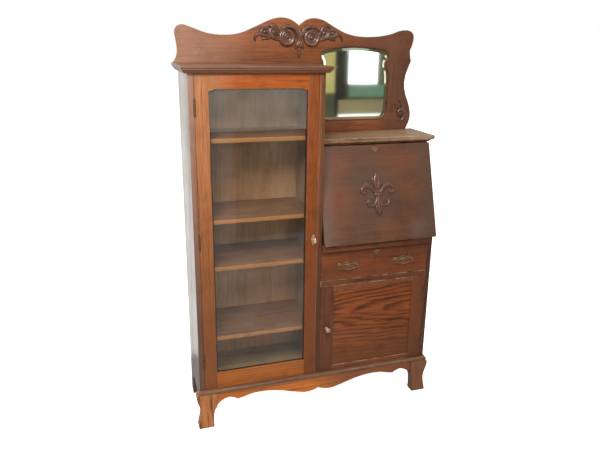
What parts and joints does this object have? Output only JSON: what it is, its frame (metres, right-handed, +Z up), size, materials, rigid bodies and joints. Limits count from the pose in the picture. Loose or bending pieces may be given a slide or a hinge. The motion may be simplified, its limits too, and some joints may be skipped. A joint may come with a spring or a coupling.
{
  "type": "secretary desk",
  "caption": "Side-by-side secretary: a glazed bookcase beside a slant-front desk with a letter rack, a drawer and a cupboard, under a carved crest with a mirror.",
  "frame": {"origin": "on the floor under the centre of the whole piece, cornice and desk top included", "axes": "+Z up, -Y towards the user, +X to the user's right, from the bookcase to the desk"},
  "size_m": [1.16, 0.3678, 1.779],
  "materials": {
    "oak_case": "satin shellac, red-brown oak",
    "oak_cornice": "satin shellac, dark oak",
    "oak_back": "matt, grey-brown oak boards",
    "oak_shelf": "satin, worn orange oak",
    "oak_crest": "satin shellac, red-brown oak",
    "oak_carving": "semi-gloss, dark stained carving",
    "oak_top": "worn pale oak",
    "oak_base": "satin shellac, orange oak",
    "oak_inside": "unfinished oak and poplar",
    "oak_door": "satin shellac, orange-red oak",
    "oak_trim": "satin shellac",
    "oak_fall": "satin, dark brown oak",
    "oak_drawer": "satin shellac, quartered oak",
    "oak_cupboard": "satin shellac",
    "oak_panel": "satin shellac, bold plain-sawn grain",
    "glass": "clear old window glass",
    "mirror": "bevelled silvered plate",
    "brass_dark": "tarnished",
    "brass_bright": "worn"
  },
  "bodies": {
    "cabinet": {"left_side_panel": "oak_case", "partition": "oak_case", "right_side_panel": "oak_case", "cornice_lower_board": "oak_cornice", "cornice_top_board": "oak_cornice", "bookcase_top": "oak_case", "bookcase_bottom": "oak_case", "bookcase_back": "oak_back", "shelves": "oak_shelf", "shelf_pins": "brass_dark", "desk_back": "oak_back", "desk_top": "oak_top", "desk_top_moulding": "oak_cornice", "writing_bed": "oak_case", "drawer_rail": "oak_case", "drawer_runners": "oak_inside", "cupboard_bottom": "oak_case", "pigeonholes": "oak_inside", "base_ledge": "oak_base", "apron": "oak_base", "front_feet": "oak_base", "crest_top_rail": "oak_crest", "crest_stiles": "oak_crest", "crest_bottom_rail": "oak_crest", "crest_carvings": "oak_carving", "mirror_glass": "mirror", "mirror_bead": "oak_trim", "mirror_back_board": "oak_back", "hinge_leaves_fixed": "brass_dark", "hinge_pins": "brass_dark"},
    "bookcase_door": {"door_stile_left": "oak_door", "door_stile_right": "oak_door", "door_rail_top": "oak_door", "door_rail_bottom": "oak_door", "door_glass": "glass", "door_glass_beads": "oak_trim", "door_hinge_leaves": "brass_dark", "door_escutcheon": "brass_dark", "door_lock_case": "brass_dark"},
    "door_bolt": {"door_lock_bolt": "brass_dark"},
    "door_key": {"door_key": "brass_bright"},
    "fall": {"fall_board": "oak_fall", "fall_carving": "oak_carving", "fall_escutcheon": "brass_dark", "fall_hinge_leaves": "brass_dark"},
    "stay_crank": {"stay_cranks": "brass_dark"},
    "stay_strut": {"stay_struts": "brass_dark"},
    "drawer": {"drawer_front": "oak_drawer", "drawer_sides": "oak_inside", "drawer_back": "oak_inside", "drawer_bottom": "oak_inside", "drawer_pull_plates": "brass_dark", "drawer_escutcheon": "brass_dark"},
    "bail_left": {"bail_left": "brass_dark"},
    "bail_right": {"bail_right": "brass_dark"},
    "cupboard_door": {"cupboard_stiles": "oak_cupboard", "cupboard_rails": "oak_cupboard", "cupboard_panel": "oak_panel", "cupboard_knob": "brass_bright", "cupboard_hinge_leaves": "brass_dark"}
  },
  "joints": [
    {"name": "bookcase_door_hinge", "type": "hinge", "parent": "cabinet", "child": "bookcase_door", "pos_m": [-0.53125, -0.14897, 0.88], "axis": [0, 0, -1], "range_deg": [0, 110]},
    {"name": "door_key_turn", "type": "hinge", "parent": "bookcase_door", "child": "door_key", "pos_m": [-0.0375, -0.14597, 0.852], "axis": [0, 1, 0], "range_deg": [0, 90]},
    {"name": "door_bolt_slide", "type": "slide", "parent": "bookcase_door", "child": "door_bolt", "axis": [1, 0, 0], "range_m": [0, 0.008]},
    {"name": "fall_hinge", "type": "hinge", "parent": "cabinet", "child": "fall", "pos_m": [0.279, -0.16497, 0.817], "axis": [1, 0, 0], "range_deg": [0, 107.7]},
    {"name": "stay_crank_pivot", "type": "hinge", "parent": "cabinet", "child": "stay_crank", "pos_m": [0.2675, 0.00003, 0.924], "axis": [1, 0, 0], "range_deg": [0, 107.7]},
    {"name": "stay_strut_pivot", "type": "hinge", "parent": "fall", "child": "stay_strut", "pos_m": [0.2675, -0.11211, 0.93659], "axis": [1, 0, 0], "range_deg": [-107.7, 0]},
    {"name": "drawer_slide", "type": "slide", "parent": "cabinet", "child": "drawer", "axis": [0, -1, 0], "range_m": [0, 0.2]},
    {"name": "bail_left_swing", "type": "hinge", "parent": "drawer", "child": "bail_left", "pos_m": [0.129, -0.15957, 0.718], "axis": [-1, 0, 0], "range_deg": [0, 95]},
    {"name": "bail_right_swing", "type": "hinge", "parent": "drawer", "child": "bail_right", "pos_m": [0.406, -0.15957, 0.718], "axis": [-1, 0, 0], "range_deg": [0, 95]},
    {"name": "cupboard_door_hinge", "type": "hinge", "parent": "cabinet", "child": "cupboard_door", "pos_m": [0.53125, -0.14897, 0.4], "axis": [0, 0, 1], "range_deg": [0, 110]}
  ],
  "couplings": [
    {"joint": "door_bolt_slide", "follows": "door_key_turn", "m_per_rad": 0.005093},
    {"joint": "stay_crank_pivot", "follows": "fall_hinge", "ratio": 1},
    {"joint": "stay_strut_pivot", "follows": "fall_hinge", "ratio": -1}
  ]
}
